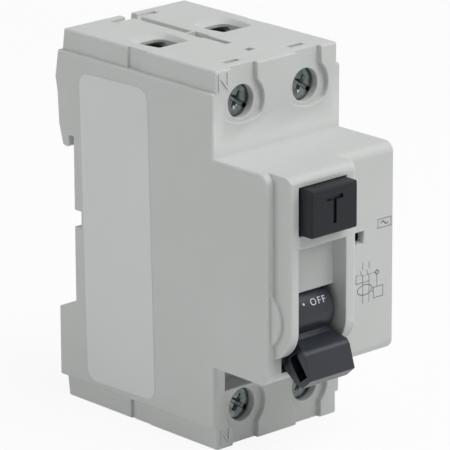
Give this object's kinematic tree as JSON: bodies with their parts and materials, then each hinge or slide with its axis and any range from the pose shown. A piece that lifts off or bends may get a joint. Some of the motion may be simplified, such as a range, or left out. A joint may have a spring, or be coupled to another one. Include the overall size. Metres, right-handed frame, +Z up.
{
  "type": "residual-current circuit breaker",
  "caption": "Rail-mounted residual-current breaker with a dark toggle in a raised ridge, a test button above it, a trip window and screw cage terminals at both ends.",
  "frame": {"origin": "middle of the rail seat: mid-width, on the seat plane, at the rail's centre line", "axes": "front is -Y, up is +Z, +X to the right seen from the front; the rail runs along X"},
  "size_m": [0.0361, 0.0736, 0.0816],
  "materials": {
    "casing": "light grey moulded thermoplastic, finely satin",
    "label": "bare satin film label",
    "toggle": "dark grey moulded plastic, satin",
    "button": "near-black moulded plastic, satin",
    "screw_steel": "bright zinc-plated steel",
    "cage_steel": "zinc-plated sheet steel",
    "spring_steel": "bright spring wire",
    "copper": "bare copper strip",
    "silver": "silver alloy contact facing",
    "braid": "stranded copper braid",
    "mechanism_plastic": "dark moulded mechanism plastic",
    "flag": "red signal plastic",
    "winding": "enamelled copper wire, varnished",
    "core": "coated ferromagnetic tape core",
    "relay": "sealed relay housing",
    "resistor": "lacquered resistor with tinned leads",
    "wire_sheath": "enamelled hook-up wire"
  },
  "bodies": {
    "housing": {"rear_base": "casing", "front_cover": "casing", "side_label": "label", "din_clip_spring": "spring_steel", "toggle_pin": "spring_steel", "toggle_spring": "spring_steel", "test_button_spring": "spring_steel", "test_contact_blade": "copper", "test_resistor": "resistor", "trip_lever_pin": "spring_steel", "trip_lever_spring": "spring_steel", "relay_case": "relay", "relay_wires": "wire_sheath", "carrier_pin": "spring_steel", "contact_braids": "braid", "line_contact_left": "copper", "line_contact_right": "copper", "line_contact_tips": "silver", "load_conductor_left": "copper", "load_conductor_right": "copper", "toroid_core": "core", "toroid_winding": "winding"},
    "toggle": {"toggle": "toggle"},
    "drive_link": {"drive_link": "spring_steel"},
    "carrier": {"contact_carrier": "mechanism_plastic", "moving_contact_left": "copper", "moving_contact_right": "copper", "moving_contact_tips": "silver", "contact_springs": "spring_steel"},
    "test_button": {"test_button": "button"},
    "trip_lever": {"trip_lever": "mechanism_plastic"},
    "trip_flag": {"trip_flag": "flag"},
    "relay_plunger": {"relay_plunger": "cage_steel"},
    "din_clip": {"din_clip": "casing"},
    "screw_upper_left": {"terminal_screw_upper_left": "screw_steel"},
    "cage_upper_left": {"terminal_cage_upper_left": "cage_steel"},
    "screw_upper_right": {"terminal_screw_upper_right": "screw_steel"},
    "cage_upper_right": {"terminal_cage_upper_right": "cage_steel"},
    "screw_lower_left": {"terminal_screw_lower_left": "screw_steel"},
    "cage_lower_left": {"terminal_cage_lower_left": "cage_steel"},
    "screw_lower_right": {"terminal_screw_lower_right": "screw_steel"},
    "cage_lower_right": {"terminal_cage_lower_right": "cage_steel"}
  },
  "joints": [
    {"name": "toggle_pivot", "type": "hinge", "parent": "housing", "child": "toggle", "pos_m": [-0.00709, -0.0571, -0.0086], "axis": [-1, 0, 0], "range_deg": [0, 90], "deforming": ["toggle_spring"]},
    {"name": "link_pivot", "type": "hinge", "parent": "toggle", "child": "drive_link", "pos_m": [-0.00279, -0.05958, -0.00613], "axis": [-1, 0, 0], "range_deg": [-90, 0]},
    {"name": "carrier_pivot", "type": "hinge", "parent": "housing", "child": "carrier", "pos_m": [0, -0.015, 0.006], "axis": [1, 0, 0], "range_deg": [0, 30], "deforming": ["contact_braids"]},
    {"name": "test_press", "type": "slide", "parent": "housing", "child": "test_button", "axis": [0, 1, 0], "range_m": [0, 0.0015], "stiffness_N_per_m": 600, "springref_m": -0.001, "deforming": ["test_button_spring"]},
    {"name": "trip_pivot", "type": "hinge", "parent": "housing", "child": "trip_lever", "pos_m": [0.0071, -0.042, 0.005], "axis": [-1, 0, 0], "range_deg": [0, 12], "stiffness_Nm_per_rad": 0.004, "springref_deg": -5.73, "deforming": ["trip_lever_spring"]},
    {"name": "flag_slide", "type": "slide", "parent": "housing", "child": "trip_flag", "axis": [0, 0, 1], "range_m": [0, 0.0029]},
    {"name": "plunger_slide", "type": "slide", "parent": "housing", "child": "relay_plunger", "axis": [0, 0, 1], "range_m": [0, 0.0013]},
    {"name": "clip_slide", "type": "slide", "parent": "housing", "child": "din_clip", "axis": [0, 0, -1], "range_m": [0, 0.004], "stiffness_N_per_m": 1500, "springref_m": -0.002, "deforming": ["din_clip_spring"]},
    {"name": "screw_turn_upper_left", "type": "hinge", "parent": "housing", "child": "screw_upper_left", "pos_m": [-0.009, -0.04, 0.0328], "axis": [0, 1, 0], "range_deg": [0, 1981]},
    {"name": "cage_draw_upper_left", "type": "slide", "parent": "housing", "child": "cage_upper_left", "axis": [0, -1, 0], "range_m": [0, 0.0055]},
    {"name": "screw_turn_upper_right", "type": "hinge", "parent": "housing", "child": "screw_upper_right", "pos_m": [0.009, -0.04, 0.0328], "axis": [0, 1, 0], "range_deg": [0, 1981]},
    {"name": "cage_draw_upper_right", "type": "slide", "parent": "housing", "child": "cage_upper_right", "axis": [0, -1, 0], "range_m": [0, 0.0055]},
    {"name": "screw_turn_lower_left", "type": "hinge", "parent": "housing", "child": "screw_lower_left", "pos_m": [-0.009, -0.04, -0.0328], "axis": [0, 1, 0], "range_deg": [0, 1981]},
    {"name": "cage_draw_lower_left", "type": "slide", "parent": "housing", "child": "cage_lower_left", "axis": [0, -1, 0], "range_m": [0, 0.0055]},
    {"name": "screw_turn_lower_right", "type": "hinge", "parent": "housing", "child": "screw_lower_right", "pos_m": [0.009, -0.04, -0.0328], "axis": [0, 1, 0], "range_deg": [0, 1981]},
    {"name": "cage_draw_lower_right", "type": "slide", "parent": "housing", "child": "cage_lower_right", "axis": [0, -1, 0], "range_m": [0, 0.0055]}
  ],
  "couplings": [
    {"joint": "link_pivot", "follows": "toggle_pivot", "ratio": -1},
    {"joint": "carrier_pivot", "follows": "toggle_pivot", "ratio": 0.33333},
    {"joint": "trip_pivot", "follows": "flag_slide", "rad_per_m": 72.2},
    {"joint": "plunger_slide", "follows": "flag_slide", "ratio": 0.433},
    {"joint": "screw_turn_upper_left", "follows": "cage_draw_upper_left", "rad_per_m": 6283.2},
    {"joint": "screw_turn_upper_right", "follows": "cage_draw_upper_right", "rad_per_m": 6283.2},
    {"joint": "screw_turn_lower_left", "follows": "cage_draw_lower_left", "rad_per_m": 6283.2},
    {"joint": "screw_turn_lower_right", "follows": "cage_draw_lower_right", "rad_per_m": 6283.2}
  ]
}
